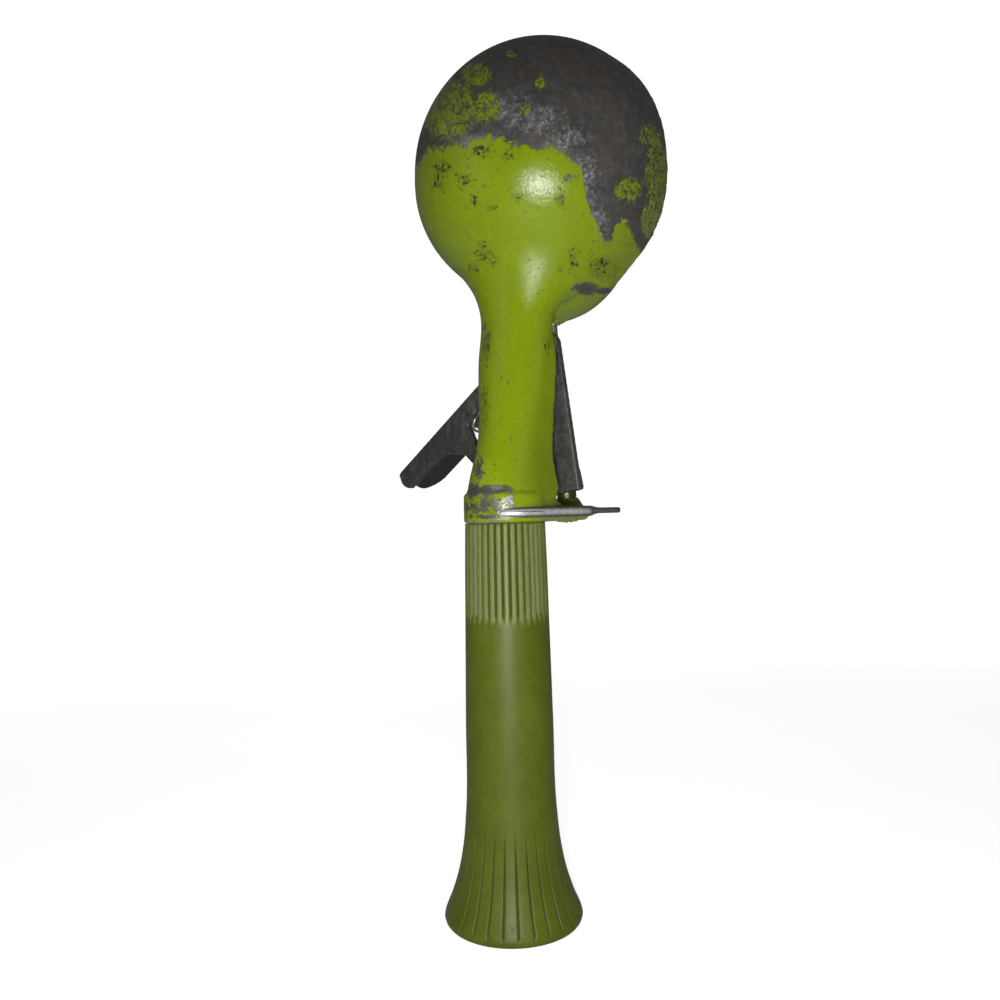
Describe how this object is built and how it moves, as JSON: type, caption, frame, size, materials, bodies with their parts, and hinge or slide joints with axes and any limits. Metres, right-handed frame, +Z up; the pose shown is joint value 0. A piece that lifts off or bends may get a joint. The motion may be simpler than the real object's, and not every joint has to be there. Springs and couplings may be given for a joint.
{
  "type": "ice_cream_scoop",
  "caption": "worn green lever ice cream scoop with a round bowl, a thumb lever, a toothed sector and a sweeping wiper blade",
  "frame": {"origin": "centre of the flat end of the handle", "axes": "+Z up the handle to the bowl, +Y the way the bowl opens, -X the side of the thumb lever"},
  "size_m": [0.0813, 0.0558, 0.2072],
  "materials": {
    "casting": "satin, worn to bare metal",
    "grip": "moulded, semi-matt",
    "lever": "dark oxidised casting",
    "steel": "tarnished",
    "spring": "bright wire",
    "zinc": "dark worn",
    "brass": "dull",
    "blade": "satin"
  },
  "bodies": {
    "shank": {"bowl_and_shank": "casting", "handle_grip": "grip", "lever_pivot_rivet": "steel", "lever_pivot_washer": "steel", "spring_peg": "steel", "shaft_low_bush": "brass", "pinion_thrust_washer": "brass", "shaft_high_bush": "steel", "top_pivot_pin": "steel"},
    "lever": {"thumb_lever": "lever", "return_spring": "spring"},
    "wiper": {"wiper_shaft": "steel", "bevel_pinion": "zinc", "pinion_pin": "steel", "shaft_end_ring": "steel", "wiper_hub": "zinc", "wiper_blade": "blade"}
  },
  "joints": [
    {"name": "lever_pivot", "type": "hinge", "parent": "shank", "child": "lever", "pos_m": [0, 0.0197, 0.1335], "axis": [0, -1, 0], "range_deg": [0, 20], "stiffness_Nm_per_rad": 0.5, "springref_deg": -20.05, "deforming": ["return_spring"]},
    {"name": "wiper_turn", "type": "hinge", "parent": "shank", "child": "wiper", "pos_m": [0, 0.0189, 0.1755], "axis": [0, -0.1111, 0.9938], "range_deg": [0, 180]}
  ],
  "couplings": [
    {"joint": "wiper_turn", "follows": "lever_pivot", "ratio": 9}
  ]
}
